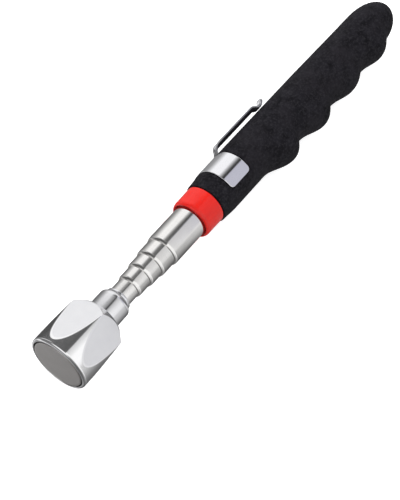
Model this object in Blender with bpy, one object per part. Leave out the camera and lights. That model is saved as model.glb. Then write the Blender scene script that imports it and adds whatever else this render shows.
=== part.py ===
"""Telescoping magnetic pickup tool with a foam grip and a pocket clip.

Metres.  +X runs along the tool from the magnet's face towards the handle's tail, +Y points to
the pocket clip, -Y to the finger bumps.  The origin is the centre of the magnet's flat face.
The tool is modelled collapsed: every tube is pushed in as far as it goes.
"""
from math import atan, cos, pi, radians, sin, sqrt

import bmesh
import bpy
from mathutils import Vector

# ---------------------------------------------------------------- driving dimensions
HEAD_RADIUS = 0.0120          # outside radius of the magnet housing
HEAD_LENGTH = 0.0243          # from the magnet's face to the housing's back
TOOL_LENGTH = 0.2166          # collapsed, face to tail
TUBE_1_RADIUS = 0.00438       # outside radius of the thinnest tube
TUBE_STEP = 0.00061           # growth in radius from one tube to the next
TUBE_WALL = 0.00030
TUBE_COUNT = 5
GRIP_RADIUS = 0.00948         # straight part of the foam grip
CLIP_SHEET = 0.0006           # thickness of the clip's spring steel

# ---------------------------------------------------------------- fits and gaps
RUN_GAP = 0.00004             # radial clearance of a part that slides or turns
SEAT_GAP = 0.00010            # clearance of a part that is pushed or glued into another
FACE_GAP = 0.00015            # between faces that meet end to end

# ---------------------------------------------------------------- magnet head
RIM_INNER = 0.01086           # mouth of the pocket that holds the magnet
RIM_ROUND = 0.0010            # rounding of the rim's outer edge
RIM_FRONT = 0.0001            # the rim stands just behind the magnet's face
DISC_RADIUS = 0.01034         # pole disc, magnet and backing plate
DISC_THICK = 0.0014
MAGNET_THICK = 0.0032
BACKING_THICK = 0.0012
SPACER_FRONT = 0.0007         # the spacer ring sits down in the groove round the disc
POCKET_DEPTH = DISC_THICK + MAGNET_THICK + BACKING_THICK + 4 * FACE_GAP
SCREW_HEAD_RADIUS = 0.0042
SCREW_HEAD_THICK = 0.0022
SCREW_RADIUS = 0.0025
SCREW_END = 0.0266
FLAT_COUNT = 5                # wrench flats ground round the housing
FLAT_PHASE = radians(-38.0)   # centre of the first flat, measured from +Z towards -Y
FLAT_START = 0.0021           # where each flat's rounded tongue begins
FLAT_SLOPE = 0.175            # depth gained per length at the tongue's tip
FLAT_WHEEL = 0.190            # radius of the wheel that hollow-grinds the flats
CHAMFER_START = 0.0209        # conical chamfer at the back of the housing
CHAMFER_RADIUS = 0.0086       # where the chamfer meets the flat back

# ---------------------------------------------------------------- neck
NECK_RADIUS = 0.00638
NECK_FRONT = HEAD_LENGTH + FACE_GAP
NECK_SHOULDER = 0.0314        # start of the rounded back edge
NECK_ROUND = 0.0017
NECK_BACK = 0.0332
SOCKET_FRONT = 0.0280         # bottom of the socket that holds the first tube
CRIMP_RADIUS = 0.00500
CRIMP_LENGTH = 0.0012

# ---------------------------------------------------------------- tubes
MOUTHS = {2: 0.0400, 3: 0.0463, 4: 0.0523, 5: 0.0594}    # front end of each outer tube
TUBE_BACK = 0.1965            # all the sliding tubes end level, against the rear plug
OUTER_TUBE_BACK = 0.2018
STOP_BEAD = 0.1820            # raised ring that meets the next tube's lip when drawn out
KEEPER_BEAD = 0.1900          # raised ring behind the friction sleeve
BEAD_HEIGHT = 0.00020
BEAD_HALF = 0.0006
LIP_LENGTH = 0.0010
SLEEVE_INSET = 0.0010         # from each bead's middle to the sleeve's end

# ---------------------------------------------------------------- handle
COLLAR_FRONT = 0.0764
COLLAR_BACK = 0.0869
COLLAR_RADIUS = 0.00850
COLLAR_NOSE_RADIUS = 0.00712  # small end of the collar's rounded nose
COLLAR_SPIGOT_END = 0.0911
LINER_RADIUS = 0.00745
LINER_BORE = 0.00705
GRIP_BORE = 0.00754
GRIP_FRONT = COLLAR_BACK + 0.00025
GRIP_MOUTH_RADIUS = 0.0090    # the grip's front edge, where it meets the collar
GRIP_BORE_END = 0.2035
TAIL_START = 0.1980           # where the tail begins to round off
BUMP_CRESTS = (0.1291, 0.1507, 0.1726, 0.1949)
BUMP_HEIGHTS = (0.00445, 0.00435, 0.0037, 0.0036)
VALLEYS = (0.1145, 0.1348, 0.1575, 0.1808, 0.2030)
VALLEY_HEIGHTS = (0.0, 0.00085, 0.00095, 0.0011, 0.0003)   # all above the round grip
TAIL_FULLNESS = 0.0006        # the tail is this much fuller on the bumps' side

# ---------------------------------------------------------------- pocket clip
BAND_FRONT = 0.0946
BAND_BACK = 0.1065
BAND_RADIUS = 0.00965         # outside of the clip's band
BAND_WRAP = radians(112.0)    # how far the band reaches round, each way from the arm
BAND_CORNER = 0.0016
GROOVE_RADIUS = 0.00892       # the foam is squeezed down under the band
NOTCH_FRONT = 0.1050          # the arm grows out of a notch in the band's back edge
NOTCH_HALF = radians(20.5)
ARM_ROOT_HALF = 0.0030        # half the arm's width at its root
ARM_TIP_HALF = 0.0025
ARM_ARCH = -0.00095           # the arm's long edges are turned up, away from the grip
ARM_LIFT = 0.00148            # height of the arm's straight run above the band
DROP_X = 0.1317               # where the arm turns down to the grip
DIP_X = 0.1343                # where it is nearest to the grip
FLARE_X = 0.1357              # where the tip starts to curl away from the grip
FLARE_RADIUS = 0.0025

# ---------------------------------------------------------------- facets round a circle
HEAD_SEGMENTS = 60
DISC_SEGMENTS = 48
ROUND_SEGMENTS = 40           # neck and collar
TUBE_SEGMENTS = 36
GRIP_SEGMENTS = 32


# ================================================================ helpers
def clear_scene():
    for obj in list(bpy.data.objects):
        bpy.data.objects.remove(obj, do_unlink=True)


def material(name, colour, roughness, metallic):
    mat = bpy.data.materials.new(name)
    mat.use_nodes = True
    shader = mat.node_tree.nodes["Principled BSDF"]
    shader.inputs["Base Color"].default_value = (*colour, 1.0)
    shader.inputs["Roughness"].default_value = roughness
    shader.inputs["Metallic"].default_value = metallic
    mat.diffuse_color = (*colour, 1.0)
    return mat


def finish_mesh(name, bm, mat, parent=None, origin=(0.0, 0.0, 0.0), sharp_angle=32.0):
    """Turn a bmesh in world coordinates into a shaded object with its origin at a given point."""
    bmesh.ops.recalc_face_normals(bm, faces=bm.faces)
    bmesh.ops.translate(bm, verts=bm.verts, vec=-Vector(origin))
    mesh = bpy.data.meshes.new(name)
    bm.to_mesh(mesh)
    bm.free()
    mesh.shade_smooth()
    mesh.set_sharp_from_angle(angle=radians(sharp_angle))
    mesh.materials.append(mat)
    obj = bpy.data.objects.new(name, mesh)
    bpy.context.scene.collection.objects.link(obj)
    obj.location = origin
    if parent is not None:
        obj.parent = parent
        obj.matrix_parent_inverse = parent.matrix_world.inverted()
    return obj


def loft(rings, closed=False):
    """Skin equal rings of points in order; the ends are capped unless the path closes."""
    bm = bmesh.new()
    loops = [[bm.verts.new(point) for point in ring] for ring in rings]
    pairs = list(zip(loops, loops[1:]))
    if closed:
        pairs.append((loops[-1], loops[0]))
    for first, second in pairs:
        count = len(first)
        for i in range(count):
            j = (i + 1) % count
            bm.faces.new((first[i], first[j], second[j], second[i]))
    if not closed:
        bm.faces.new(loops[0])
        bm.faces.new(loops[-1])
    return bm


def around(x, radius, segments):
    """A ring of points about the tool's axis, the first one at +Z."""
    angles = [2 * pi * i / segments for i in range(segments)]
    return [Vector((x, -radius * sin(a), radius * cos(a))) for a in angles]


def turned(profile, segments):
    """Turn a closed outline of (x, radius) points that never touches the axis into a ring."""
    return loft([around(x, r, segments) for x, r in profile], closed=True)


def solid_of_revolution(profile, segments):
    """Turn an open outline of (x, radius) points into a solid with a flat cap at each end."""
    return loft([around(x, r, segments) for x, r in profile])


def arc(centre_x, centre_r, radius, start, stop, steps):
    """Outline points on an arc, angles in degrees from +X towards growing radius."""
    points = []
    for i in range(steps + 1):
        a = radians(start + (stop - start) * i / steps)
        points.append((centre_x + radius * cos(a), centre_r + radius * sin(a)))
    return points


def tube_radius(number):
    return TUBE_1_RADIUS + TUBE_STEP * (number - 1)


def smooth(t):
    t = min(1.0, max(0.0, t))
    return t * t * (3.0 - 2.0 * t)


def pivot(name, location=(0.0, 0.0, 0.0), parent=None):
    """An empty on a joint's axis, which carries the pieces of one moving body."""
    empty = bpy.data.objects.new(name, None)
    empty.empty_display_size = 0.01
    bpy.context.scene.collection.objects.link(empty)
    empty.location = location
    bpy.context.view_layer.update()
    if parent is not None:
        empty.parent = parent
        empty.matrix_parent_inverse = parent.matrix_world.inverted()
    bpy.context.view_layer.update()
    return empty


# ================================================================ magnet head
def housing_profile():
    """Outline of the housing: rim, outside, chamfered back, screw bore, magnet pocket."""
    rim = arc(RIM_FRONT + RIM_ROUND, HEAD_RADIUS - RIM_ROUND, RIM_ROUND, 180, 90, 6)
    counterbore = POCKET_DEPTH + SCREW_HEAD_THICK + FACE_GAP
    bore = SCREW_RADIUS + SEAT_GAP
    head_bore = SCREW_HEAD_RADIUS + 0.0003
    back = [
        (CHAMFER_START, HEAD_RADIUS),
        (HEAD_LENGTH, CHAMFER_RADIUS),
        (HEAD_LENGTH, bore),
        (counterbore, bore),
        (counterbore, head_bore),
        (POCKET_DEPTH, head_bore),
        (POCKET_DEPTH, RIM_INNER),
        (RIM_FRONT + 0.0002, RIM_INNER),
        (RIM_FRONT, RIM_INNER + 0.0001),
    ]
    return rim + back


def flat_cutter(angle):
    """The space one grinding wheel sweeps: hollow along the tool, straight across it."""
    lean = atan(FLAT_SLOPE)
    wheel_x = FLAT_START + FLAT_WHEEL * sin(lean)
    wheel_r = HEAD_RADIUS + FLAT_WHEEL * cos(lean)
    front, back, top = -0.004, HEAD_LENGTH + 0.003, 2.0 * HEAD_RADIUS
    half_width = 1.2 * HEAD_RADIUS
    steps = 14
    outline = []
    for i in range(steps + 1):
        x = front + (back - front) * i / steps
        outline.append((x, wheel_r - sqrt(FLAT_WHEEL ** 2 - (x - wheel_x) ** 2)))
    outline += [(back, top), (front, top)]
    outward = Vector((0.0, -sin(angle), cos(angle)))
    across = Vector((0.0, cos(angle), sin(angle)))
    rings = []
    for side in (-half_width, half_width):
        rings.append([Vector((x, 0, 0)) + outward * r + across * side for x, r in outline])
    return loft(rings)


def cut(target, cutter_bm, name):
    bmesh.ops.recalc_face_normals(cutter_bm, faces=cutter_bm.faces)
    mesh = bpy.data.meshes.new(name)
    cutter_bm.to_mesh(mesh)
    cutter_bm.free()
    tool = bpy.data.objects.new(name, mesh)
    bpy.context.scene.collection.objects.link(tool)
    tool.hide_render = True
    tool.display_type = "WIRE"
    tool.parent = target.parent
    tool.matrix_parent_inverse = target.matrix_parent_inverse
    modifier = target.modifiers.new(name, "BOOLEAN")
    modifier.operation = "DIFFERENCE"
    modifier.solver = "EXACT"
    modifier.object = tool


def make_housing(mat, body):
    obj = finish_mesh("magnet_housing", turned(housing_profile(), HEAD_SEGMENTS), mat, body)
    for i in range(FLAT_COUNT):
        angle = FLAT_PHASE + 2 * pi * i / FLAT_COUNT
        cut(obj, flat_cutter(angle), f"flat_cutter_{i + 1}")


def disc(x_front, x_back, radius, edge):
    """A plain disc with lightly broken edges."""
    profile = [
        (x_front, radius - edge),
        (x_front + edge, radius),
        (x_back - edge, radius),
        (x_back, radius - edge),
    ]
    return solid_of_revolution(profile, DISC_SEGMENTS)


def make_magnet_stack(mats, body):
    """Pole disc, magnet and backing plate, one behind the other in the pocket."""
    x = 0.0
    stack = (
        ("pole_disc", DISC_THICK, mats["pole"]),
        ("disc_magnet", MAGNET_THICK, mats["magnet"]),
        ("backing_plate", BACKING_THICK, mats["plate"]),
    )
    for name, thick, mat in stack:
        finish_mesh(name, disc(x, x + thick, DISC_RADIUS, 0.0002), mat, body)
        x += thick + FACE_GAP


def make_spacer_ring(mat, body):
    inner = DISC_RADIUS + SEAT_GAP
    outer = RIM_INNER - SEAT_GAP
    back = POCKET_DEPTH - FACE_GAP
    profile = [(SPACER_FRONT, inner), (SPACER_FRONT, outer), (back, outer), (back, inner)]
    finish_mesh("spacer_ring", turned(profile, DISC_SEGMENTS), mat, body)


def make_neck_screw(mat, body):
    head_front = POCKET_DEPTH
    head_back = head_front + SCREW_HEAD_THICK
    profile = [
        (head_front, SCREW_HEAD_RADIUS - 0.0004),
        (head_front + 0.0004, SCREW_HEAD_RADIUS),
        (head_back, SCREW_HEAD_RADIUS),
        (head_back, SCREW_RADIUS),
        (SCREW_END - 0.0005, SCREW_RADIUS),
        (SCREW_END, SCREW_RADIUS - 0.0005),
    ]
    finish_mesh("neck_screw", solid_of_revolution(profile, TUBE_SEGMENTS), mat, body)


def make_neck(mat, body):
    """The neck joins the housing's back to the first tube, which sits in its rear socket."""
    screw_bore = SCREW_RADIUS + SEAT_GAP
    socket = tube_radius(1) + SEAT_GAP
    shoulder = arc(NECK_SHOULDER, NECK_RADIUS - NECK_ROUND, NECK_ROUND, 90, 12, 5)
    profile = [
        (NECK_FRONT, screw_bore),
        (NECK_FRONT, NECK_RADIUS - 0.0003),
        (NECK_FRONT + 0.0003, NECK_RADIUS),
        *shoulder,
        (NECK_BACK, socket),
        (SOCKET_FRONT, socket),
        (SOCKET_FRONT, screw_bore),
    ]
    finish_mesh("neck_collar", turned(profile, ROUND_SEGMENTS), mat, body)


def make_crimp_ring(mat, body):
    front = NECK_BACK + FACE_GAP
    back = front + CRIMP_LENGTH
    inner = tube_radius(1) + RUN_GAP
    edge = 0.0002
    profile = [
        (front, inner),
        (front, CRIMP_RADIUS - edge),
        (front + edge, CRIMP_RADIUS),
        (back - 2 * edge, CRIMP_RADIUS),
        (back, CRIMP_RADIUS - 2 * edge),
        (back, inner),
    ]
    finish_mesh("crimp_ring", turned(profile, TUBE_SEGMENTS), mat, body)


# ================================================================ telescoping tubes
def bead(x, radius):
    """A low ring rolled up out of a tube's wall."""
    top = radius + BEAD_HEIGHT
    return [
        (x - BEAD_HALF, radius),
        (x - 0.4 * BEAD_HALF, top),
        (x + 0.4 * BEAD_HALF, top),
        (x + BEAD_HALF, radius),
    ]


def tube_profile(number):
    """Outline of a tube: rolled lip at the mouth, beads near the back, plain bore."""
    radius = tube_radius(number)
    bore = radius - TUBE_WALL
    is_outer = number == TUBE_COUNT
    back = OUTER_TUBE_BACK if is_outer else TUBE_BACK
    if number == 1:
        front = SOCKET_FRONT + FACE_GAP
        profile = [(front, bore), (front, radius)]
    else:
        mouth = MOUTHS[number]
        lip_bore = tube_radius(number - 1) + RUN_GAP + 0.00001
        roll = (radius - lip_bore) / 2
        profile = [(mouth + LIP_LENGTH + 0.0004, bore), (mouth + LIP_LENGTH, lip_bore)]
        profile += arc(mouth + roll, lip_bore + roll, roll, 270, 90, 5)
    if not is_outer:
        profile += bead(STOP_BEAD, radius) + bead(KEEPER_BEAD, radius)
    profile += [(back, radius), (back, bore)]
    return profile


def make_tube(number, mat, body):
    bm = turned(tube_profile(number), TUBE_SEGMENTS)
    finish_mesh(f"tube_{number}", bm, mat, body, origin=body.matrix_world.translation)


def make_sleeve(number, mat, body):
    """Split brass sleeve on the back of a tube; it rubs in the bore of the next tube."""
    inner = tube_radius(number) + RUN_GAP
    outer = tube_radius(number + 1) - TUBE_WALL - RUN_GAP
    front = STOP_BEAD + SLEEVE_INSET
    back = KEEPER_BEAD - SLEEVE_INSET
    section = [(front, inner), (front, outer), (back, outer), (back, inner)]
    rings = []
    for i in range(TUBE_SEGMENTS):
        a = 2 * pi * i / TUBE_SEGMENTS
        rings.append([Vector((x, -r * sin(a), r * cos(a))) for x, r in section])
    origin = body.matrix_world.translation
    finish_mesh(f"friction_sleeve_{number}", loft(rings), mat, body, origin=origin)


# ================================================================ handle
def make_collar(mat, body):
    """Glossy collar at the front of the grip, with a spigot that goes in under the foam."""
    bore = tube_radius(TUBE_COUNT) + SEAT_GAP
    nose = 0.0023
    rise = COLLAR_RADIUS - COLLAR_NOSE_RADIUS - 0.00015
    profile = [(COLLAR_FRONT + 0.0002, bore), (COLLAR_FRONT, bore + 0.0001)]
    steps = 5
    for i in range(steps + 1):
        a = radians(90 * i / steps)
        x = COLLAR_FRONT + nose * (1 - cos(a))
        profile.append((x, COLLAR_NOSE_RADIUS + rise * sin(a)))
    profile += [
        (COLLAR_BACK - 0.0003, COLLAR_RADIUS),
        (COLLAR_BACK, COLLAR_RADIUS - 0.0003),
        (COLLAR_BACK, LINER_RADIUS),
        (COLLAR_SPIGOT_END, LINER_RADIUS),
        (COLLAR_SPIGOT_END, bore),
    ]
    finish_mesh("grip_collar", turned(profile, ROUND_SEGMENTS), mat, body)


def make_liner(mat, body):
    front = COLLAR_SPIGOT_END + FACE_GAP
    back = OUTER_TUBE_BACK
    profile = [
        (front, LINER_BORE),
        (front, LINER_RADIUS),
        (back, LINER_RADIUS),
        (back, LINER_BORE),
    ]
    finish_mesh("grip_liner", turned(profile, TUBE_SEGMENTS), mat, body)


def make_rear_plug(mat, body):
    spigot = tube_radius(TUBE_COUNT) - TUBE_WALL - SEAT_GAP
    flange_front = OUTER_TUBE_BACK + FACE_GAP
    profile = [
        (TUBE_BACK + 0.0005, spigot - 0.0003),
        (TUBE_BACK + 0.0008, spigot),
        (flange_front, spigot),
        (flange_front, LINER_RADIUS - 0.00005),
        (GRIP_BORE_END - 0.0003, LINER_RADIUS - 0.00005),
    ]
    finish_mesh("rear_plug", solid_of_revolution(profile, TUBE_SEGMENTS), mat, body)


def grip_round(x):
    """Radius of the round grip at x, before the finger bumps and the band's groove."""
    taper = 0.0005
    if x >= TAIL_START:
        t = (x - TAIL_START) / (TOOL_LENGTH - TAIL_START)
        return (GRIP_RADIUS - taper) * sqrt(max(0.0, 1.0 - t ** 2.6))
    radius = GRIP_MOUTH_RADIUS
    radius += (GRIP_RADIUS - GRIP_MOUTH_RADIUS) * smooth((x - GRIP_FRONT) / 0.008)
    return radius - taper * smooth((x - 0.150) / (TAIL_START - 0.150))


def bump_height(x):
    """Height of the finger bumps at x: a slow rise to each crest and a quick fall after it."""
    if x <= VALLEYS[0]:
        return 0.0
    if x >= VALLEYS[-1]:
        t = (x - VALLEYS[-1]) / (TOOL_LENGTH - VALLEYS[-1])
        return VALLEY_HEIGHTS[-1] * (1.0 - t) + TAIL_FULLNESS * max(0.0, sin(pi * t))
    i = max(k for k, start in enumerate(VALLEYS) if x > start)
    crest, top = BUMP_CRESTS[i], BUMP_HEIGHTS[i]
    if x <= crest:
        rise = smooth((x - VALLEYS[i]) / (crest - VALLEYS[i]))
        return VALLEY_HEIGHTS[i] + (top - VALLEY_HEIGHTS[i]) * rise
    fall = ((x - crest) / (VALLEYS[i + 1] - crest)) ** 2.5
    return top + (VALLEY_HEIGHTS[i + 1] - top) * fall


def grip_ring(x, radius, height, squeezed=False):
    """One section of the grip: a circle drawn out to -Y by the bumps, squeezed by the band."""
    ring = []
    reach = BAND_WRAP + radians(12.0)
    for i in range(GRIP_SEGMENTS):
        a = 2 * pi * i / GRIP_SEGMENTS
        lobe = max(0.0, sin(a)) ** 1.6
        r = radius + height * lobe
        from_arm = abs((a + pi / 2 + pi) % (2 * pi) - pi)
        if squeezed and from_arm < reach:
            r = GROOVE_RADIUS
        ring.append(Vector((x, -r * sin(a), r * cos(a))))
    return ring


def grip_stations():
    """Places along the grip, with the groove's two walls, and closer together on the tail."""
    groove = (BAND_FRONT - 0.00025, BAND_BACK + 0.00025)
    places = [GRIP_FRONT + 0.0004, GRIP_FRONT + 0.003, groove[0] - 0.0005]
    places += [groove[0], groove[1], groove[1] + 0.0005]
    start, stop, steps = 0.1120, 0.2070, 36
    places += [start + (stop - start) * i / steps for i in range(steps + 1)]
    tail = TOOL_LENGTH - 0.00005 - stop
    steps = 8
    places += [stop + tail * sin(radians(90 * (i + 1) / steps)) for i in range(steps)]
    return places, groove


def make_grip(mat, body):
    """Foam grip: a blind bore over the liner, a groove under the clip, bumps for the fingers."""
    places, groove = grip_stations()
    rings = [
        around(GRIP_BORE_END, GRIP_BORE, GRIP_SEGMENTS),
        around(GRIP_FRONT, GRIP_BORE, GRIP_SEGMENTS),
        around(GRIP_FRONT, GRIP_MOUTH_RADIUS - 0.0004, GRIP_SEGMENTS),
    ]
    for x in places:
        squeezed = groove[0] <= x <= groove[1]
        rings.append(grip_ring(x, grip_round(x), bump_height(x), squeezed))
    finish_mesh("foam_grip", loft(rings), mat, body)


# ================================================================ pocket clip
def band_span(angle):
    """Front and back edge of the band at an angle from the arm: round corners and the notch."""
    front, back = BAND_FRONT, BAND_BACK
    left = (BAND_WRAP - abs(angle)) * BAND_RADIUS
    if left < BAND_CORNER:
        inset = BAND_CORNER - sqrt(max(0.0, BAND_CORNER ** 2 - (BAND_CORNER - left) ** 2))
        front += inset
        back -= inset
    if abs(angle) < NOTCH_HALF:
        back = NOTCH_FRONT
    return front, back


def band_angles():
    """Columns round the band, denser at the rounded ends and doubled at the notch's sides."""
    corner = BAND_CORNER / BAND_RADIUS
    half = [0.0, NOTCH_HALF / 2, NOTCH_HALF - radians(0.4), NOTCH_HALF]
    plain = BAND_WRAP - corner
    steps = 12
    half += [NOTCH_HALF + (plain - NOTCH_HALF) * (i + 1) / steps for i in range(steps)]
    half += [plain + corner * sin(radians(a)) for a in (18, 36, 54, 72, 84)]
    return [-a for a in reversed(half[1:])] + half


def make_band(mat, body):
    inner = BAND_RADIUS - CLIP_SHEET
    edge = 0.00012
    rings = []
    for angle in band_angles():
        front, back = band_span(angle)
        section = [
            (front, inner + edge), (front, BAND_RADIUS - edge),
            (front + edge, BAND_RADIUS), (back - edge, BAND_RADIUS),
            (back, BAND_RADIUS - edge), (back, inner + edge),
            (back - edge, inner), (front + edge, inner),
        ]
        rings.append([Vector((x, r * cos(angle), r * sin(angle))) for x, r in section])
    finish_mesh("clip_band", loft(rings), mat, body)


def arm_path():
    """Middle line of the clip's arm as (x, y, half width, arch): up, along, down, flare."""
    root_x = NOTCH_FRONT + FACE_GAP
    root_y = BAND_RADIUS - CLIP_SHEET / 2
    run_x = root_x + 0.0058
    run_y = BAND_RADIUS + ARM_LIFT
    dip_y = GRIP_RADIUS + 0.0007
    points = []
    for i in range(9):
        t = i / 8
        x = root_x + (run_x - root_x) * t
        y = root_y + (run_y - root_y) * smooth(t ** 0.8)
        points.append((x, y, ARM_ROOT_HALF, 0.0005 + (ARM_ARCH - 0.0005) * t))
    for i in range(1, 6):
        t = i / 5
        half = ARM_ROOT_HALF + (ARM_TIP_HALF - ARM_ROOT_HALF) * t
        points.append((run_x + (DROP_X - run_x) * t, run_y, half, ARM_ARCH))
    for i in range(1, 8):
        t = i / 7
        y = run_y + (dip_y - run_y) * smooth(t)
        arch = ARM_ARCH * (1.0 - 0.7 * t)
        points.append((DROP_X + (DIP_X - DROP_X) * t, y, ARM_TIP_HALF, arch))
    for i in range(8):
        t = i / 7
        a = radians(78.0) * t
        half = ARM_TIP_HALF * sqrt(1.0 - 0.94 * t ** 7)
        x = FLARE_X + FLARE_RADIUS * sin(a)
        points.append((x, dip_y + FLARE_RADIUS * (1 - cos(a)), half, 0.3 * ARM_ARCH))
    return points


def make_arm(mat, body):
    """Sprung arm of the clip: a strip arched across its width that follows arm_path."""
    path = arm_path()
    across = [i / 3 - 1 for i in range(7)]
    rings = []
    for i, (x, y, half, arch) in enumerate(path):
        before, after = path[max(0, i - 1)], path[min(len(path) - 1, i + 1)]
        along = Vector((after[0] - before[0], after[1] - before[1], 0)).normalized()
        out = Vector((-along.y, along.x, 0))
        top = []
        bottom = []
        for s in across:
            middle = Vector((x, y, s * half)) - out * (arch * s * s)
            top.append(middle + out * (CLIP_SHEET / 2))
            bottom.append(middle - out * (CLIP_SHEET / 2))
        rings.append(top + bottom[::-1])
    finish_mesh("clip_arm", loft(rings), mat, body, origin=body.matrix_world.translation)


# ================================================================ assembly
def make_materials():
    return {
        "chrome": material("chrome", (0.82, 0.82, 0.84), 0.10, 1.0),
        "tube": material("stainless_tube", (0.74, 0.71, 0.68), 0.16, 1.0),
        "pole": material("nickel_face", (0.46, 0.43, 0.42), 0.38, 1.0),
        "magnet": material("magnet_body", (0.23, 0.23, 0.24), 0.55, 0.6),
        "plate": material("steel_plate", (0.55, 0.55, 0.56), 0.35, 1.0),
        "spacer": material("black_spacer", (0.02, 0.02, 0.02), 0.60, 0.0),
        "brass": material("sleeve_brass", (0.78, 0.62, 0.30), 0.30, 1.0),
        "red": material("red_plastic", (0.82, 0.04, 0.03), 0.22, 0.0),
        "foam": material("black_foam", (0.018, 0.018, 0.021), 0.85, 0.0),
        "core": material("core_plastic", (0.05, 0.05, 0.05), 0.55, 0.0),
    }


def build():
    clear_scene()
    mats = make_materials()

    handle = pivot("handle_body")
    make_tube(TUBE_COUNT, mats["tube"], handle)
    make_collar(mats["red"], handle)
    make_liner(mats["core"], handle)
    make_rear_plug(mats["core"], handle)
    make_grip(mats["foam"], handle)
    make_band(mats["chrome"], handle)

    hinge = (NOTCH_FRONT + FACE_GAP, BAND_RADIUS - CLIP_SHEET / 2, 0.0)
    make_arm(mats["chrome"], pivot("clip_arm_pivot", hinge, handle))

    carrier = handle
    for number in range(TUBE_COUNT - 1, 0, -1):
        axis_point = (STOP_BEAD, 0.0, 0.0)
        slide = pivot(f"sleeve_{number}_slide", axis_point, carrier)
        make_sleeve(number, mats["brass"], slide)
        carrier = pivot(f"tube_{number}_spin", axis_point, slide)
        make_tube(number, mats["tube"], carrier)

    make_crimp_ring(mats["chrome"], carrier)
    make_neck(mats["chrome"], carrier)
    make_neck_screw(mats["plate"], carrier)
    make_housing(mats["chrome"], carrier)
    make_spacer_ring(mats["spacer"], carrier)
    make_magnet_stack(mats, carrier)


build()
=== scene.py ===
from math import atan, cos, exp, log, pi, radians, sin, sqrt, tan

import bmesh
import bpy
from mathutils import Matrix, Vector


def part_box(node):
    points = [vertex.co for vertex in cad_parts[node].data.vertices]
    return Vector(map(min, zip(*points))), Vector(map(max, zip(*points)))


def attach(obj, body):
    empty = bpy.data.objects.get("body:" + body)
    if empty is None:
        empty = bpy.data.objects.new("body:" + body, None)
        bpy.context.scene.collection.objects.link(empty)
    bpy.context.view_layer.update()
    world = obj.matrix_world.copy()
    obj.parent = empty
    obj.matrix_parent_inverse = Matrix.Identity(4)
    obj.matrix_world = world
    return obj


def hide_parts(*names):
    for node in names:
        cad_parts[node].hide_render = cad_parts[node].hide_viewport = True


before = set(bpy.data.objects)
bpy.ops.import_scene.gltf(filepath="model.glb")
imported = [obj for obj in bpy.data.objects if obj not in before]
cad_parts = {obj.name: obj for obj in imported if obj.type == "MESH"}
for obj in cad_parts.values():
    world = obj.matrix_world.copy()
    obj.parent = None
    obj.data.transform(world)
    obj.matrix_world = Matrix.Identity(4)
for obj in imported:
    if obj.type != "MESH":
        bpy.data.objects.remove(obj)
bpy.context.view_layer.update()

# ---------------------------------------------------------------- sizes read from the frame
housing_low, housing_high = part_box("magnet_housing")
disc_low, disc_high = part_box("pole_disc")
neck_low, neck_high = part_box("neck_collar")
collar_low, collar_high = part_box("grip_collar")
grip_low, grip_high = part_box("foam_grip")
band_low, band_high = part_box("clip_band")

HEAD_RADIUS = housing_high.y
RIM_FRONT = housing_low.x
HEAD_SETBACK = 0.0004                    # head and neck meet this far ahead of the CAD
HEAD_LENGTH = housing_high.x - HEAD_SETBACK
DISC_RADIUS = disc_high.y
DISC_THICK = disc_high.x - disc_low.x
NECK_RADIUS = neck_high.y
NECK_FRONT = neck_low.x - HEAD_SETBACK
NECK_BACK = neck_high.x
COLLAR_FRONT = collar_low.x
COLLAR_RADIUS = collar_high.y
COLLAR_SPIGOT_END = collar_high.x
LINER_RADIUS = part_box("grip_liner")[1].y
GRIP_FRONT = grip_low.x
GRIP_RADIUS = grip_high.y
GRIP_TAIL = grip_high.x
BAND_FRONT = band_low.x
BAND_BACK = band_high.x
BAND_RADIUS = band_high.y
TUBE_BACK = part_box("tube_1")[1].x
OUTER_TUBE_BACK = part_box("tube_5")[1].x

# ---------------------------------------------------------------- sizes of the head
RIM_INNER = 0.01086
RIM_ROUND = 0.0010
POCKET_DEPTH = 0.0064
RECESS_DEPTH = 0.00875                   # the screw's head lies in a recess behind the magnet
RECESS_RADIUS = 0.0045
SCREW_BORE = 0.0026
FLAT_COUNT = 5
FLAT_PHASE = radians(-38.0)              # from overhead to the middle of the first flat
FLAT_START = 0.0026
FLAT_SLOPE = 0.181                       # how steeply a flat leaves the head's side
FLAT_WHEEL = 0.190                       # radius of the wheel that ground it
FLAT_RUN_OUT = 0.0012                    # the flats' softened edge starts this far ahead of them
CHAMFER_START = 0.0205
CHAMFER_RADIUS = 0.0086
NECK_SHOULDER = 0.0314
NECK_ROUND = 0.0017
SOCKET_FRONT = 0.0280

# ---------------------------------------------------------------- sizes of the tubes
TUBE_1_RADIUS = 0.00438
TUBE_STEP = 0.00061
TUBE_WALL = 0.00030
MOUTH_GAP = 0.00004
MOUTH_LIP = 0.00018
MOUTH_SHOULDER = 0.00090
MOUTHS = {2: 0.0400, 3: 0.0463, 4: 0.0523, 5: 0.0594}
OUTER_TUBE = 5
STOP_BEAD = 0.1820
KEEPER_BEAD = 0.1900
BEAD_HALF = 0.0006
BEAD_HEIGHT = 0.0002

# ---------------------------------------------------------------- sizes of the handle
COLLAR_BACK = 0.0869
COLLAR_LIP_X = COLLAR_FRONT + 0.0007     # foremost edge of the collar, around a small recess
COLLAR_LIP_RADIUS = 0.00760
COLLAR_NOSE = 0.0018                     # length of the rounded nose behind the lip
GRIP_MOUTH_RADIUS = 0.0090
GRIP_BORE = 0.00754
GRIP_BORE_END = 0.2035
TAIL_START = 0.1980
TAIL_POINT = GRIP_TAIL + 0.00005         # where the tail's curve would close
TAIL_TAPER = 0.0004
TAPER_START = 0.150
TAIL_FULLNESS = 0.0002
CLIP_SIDE_FULLNESS = 0.00016
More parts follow.
